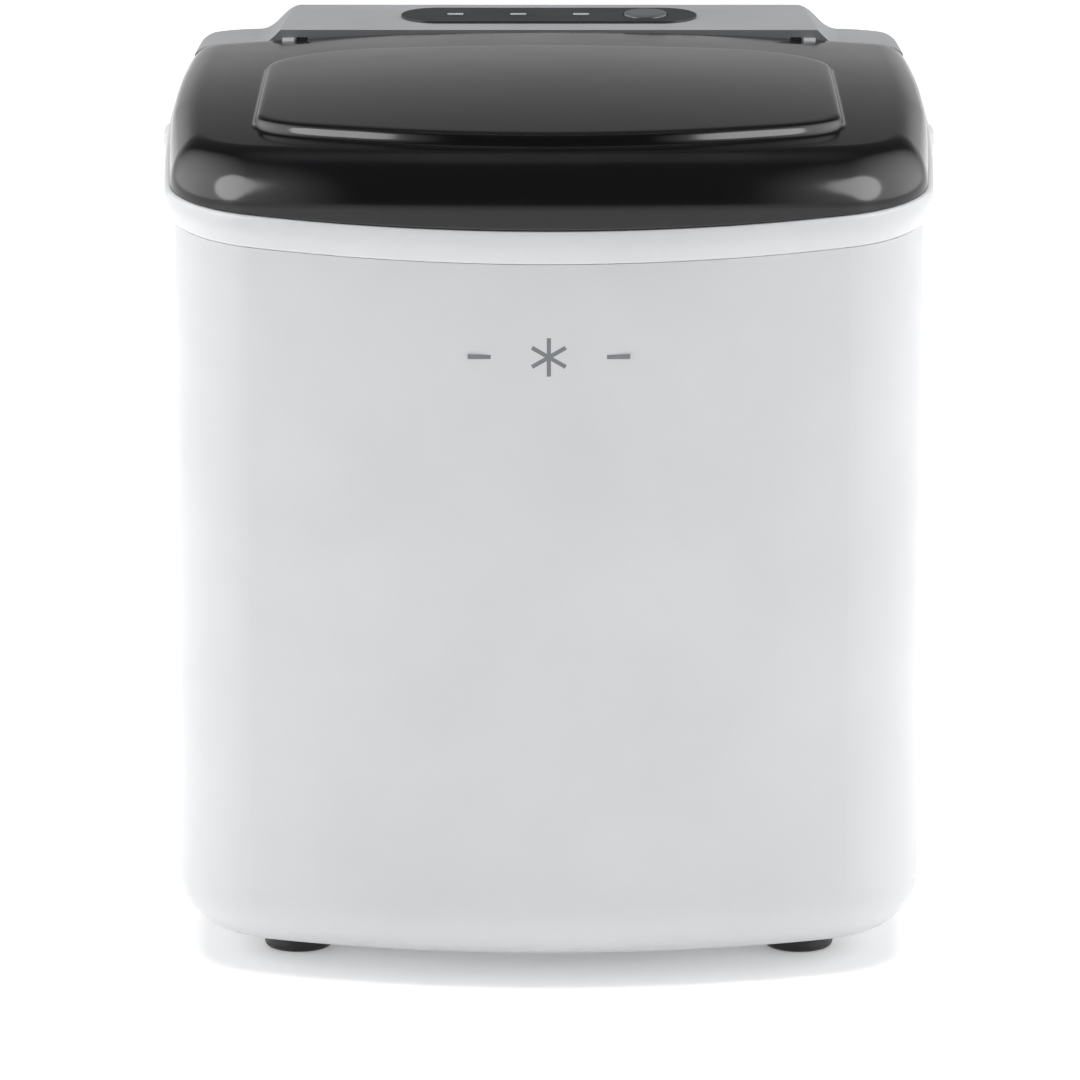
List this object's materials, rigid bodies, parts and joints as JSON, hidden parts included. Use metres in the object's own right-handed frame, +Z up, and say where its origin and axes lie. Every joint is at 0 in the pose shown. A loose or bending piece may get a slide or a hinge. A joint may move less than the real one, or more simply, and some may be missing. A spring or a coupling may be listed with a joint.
{
  "type": "ice maker",
  "caption": "Countertop ice maker with a hinged smoke lid, removable ice basket, tilting water tray, finger evaporator and cooling unit.",
  "frame": {"origin": "centre of the bounding box at the ground, under the feet", "axes": "+Z up, -Y towards the user (front), +X to the right when facing the front"},
  "size_m": [0.25, 0.295, 0.2746],
  "materials": {
    "shell_white": "satin moulded ABS",
    "lid_smoke": "glossy smoke-tinted translucent plastic",
    "liner_clear": "tinted clear sheet",
    "seal_rubber": "soft black rubber",
    "console_grey": "satin grey ABS",
    "panel_dark": "matt dark overlay",
    "lamp_lens": "diffusing lens",
    "button_dark": "domed dark button",
    "badge_grey": "flat grey metal inlay",
    "liner_white": "moulded polystyrene liner",
    "foam": "rigid foam",
    "basket_clear": "clear-grey plastic",
    "mech_white": "moulded acetal",
    "copper_plated": "nickel-plated copper",
    "copper": "drawn copper tube",
    "steel_plate": "galvanised steel",
    "screw_steel": "zinc-plated steel",
    "black_enamel": "black enamelled steel",
    "black_plastic": "moulded black plastic",
    "foot_rubber": "black rubber",
    "fin_aluminium": "thin aluminium fins on copper tube",
    "board_green": "coated circuit board",
    "hose_clear": "silicone hose",
    "motor_metal": "zinc-plated can"
  },
  "bodies": {
    "housing": {"front_shell": "shell_white", "rear_cover": "shell_white", "top_frame": "shell_white", "rear_cover_screws": "screw_steel", "base_pan": "steel_plate", "feet": "foot_rubber", "foot_screws": "screw_steel", "hinge_pins": "screw_steel", "console_cover": "console_grey", "control_panel": "panel_dark", "indicator_lenses": "lamp_lens", "control_board": "board_green", "front_badge": "badge_grey", "inner_tub": "liner_white", "foam_insulation": "foam", "ice_chute": "mech_white", "evaporator": "copper_plated", "evaporator_bracket": "steel_plate", "suction_pipe": "copper", "hot_gas_pipe": "copper", "discharge_pipe": "copper", "condenser_pipe": "copper", "gas_valve": "black_plastic", "filter_drier": "copper", "tray_brackets": "mech_white", "tray_motor": "motor_metal", "ice_sensors": "black_plastic", "water_pump": "black_plastic", "pump_filter": "mech_white", "water_hose": "hose_clear", "drain_spout": "mech_white", "compressor": "black_enamel", "compressor_grommets": "foot_rubber", "compressor_bolts": "screw_steel", "terminal_cover": "black_plastic", "condenser": "fin_aluminium", "fan_shroud": "steel_plate", "fan_motor": "motor_metal", "main_board": "board_green", "power_inlet": "black_plastic"},
    "lid": {"lid_shell": "lid_smoke", "lid_liner": "liner_clear", "lid_seal": "seal_rubber"},
    "button": {"power_button": "button_dark"},
    "tray": {"water_tray": "mech_white"},
    "pusher": {"ice_pusher": "mech_white"},
    "basket": {"ice_basket": "basket_clear"},
    "fan": {"fan_blade": "black_plastic"},
    "impeller": {"pump_impeller": "mech_white"},
    "plug": {"drain_plug": "black_plastic", "drain_seal": "seal_rubber"}
  },
  "joints": [
    {"name": "lid_hinge", "type": "hinge", "parent": "housing", "child": "lid", "pos_m": [0, 0.0935, 0.266], "axis": [-1, 0, 0], "range_deg": [0, 95]},
    {"name": "power_button_press", "type": "slide", "parent": "housing", "child": "button", "axis": [0, 0.0629, -0.998], "range_m": [0, 0.0008], "stiffness_N_per_m": 400, "springref_m": -0.0005},
    {"name": "tray_tilt", "type": "hinge", "parent": "housing", "child": "tray", "pos_m": [0, 0.01, 0.205], "axis": [1, 0, 0], "range_deg": [0, 95]},
    {"name": "pusher_swing", "type": "hinge", "parent": "housing", "child": "pusher", "pos_m": [0, 0.01, 0.205], "axis": [1, 0, 0], "range_deg": [-91, 0]},
    {"name": "basket_lift", "type": "slide", "parent": "housing", "child": "basket", "axis": [0, 0, 1], "range_m": [0, 0.078]},
    {"name": "fan_spin", "type": "hinge", "parent": "housing", "child": "fan", "pos_m": [0.06, 0.12, 0.074], "axis": [0, 1, 0], "continuous": true},
    {"name": "impeller_spin", "type": "hinge", "parent": "housing", "child": "impeller", "pos_m": [0.045, -0.035, 0.06], "axis": [0, 0, 1], "continuous": true},
    {"name": "drain_plug_pull", "type": "slide", "parent": "housing", "child": "plug", "axis": [-1, 0, 0], "range_m": [0, 0.016]}
  ],
  "couplings": [
    {"joint": "pusher_swing", "follows": "tray_tilt", "ratio": -0.95}
  ]
}
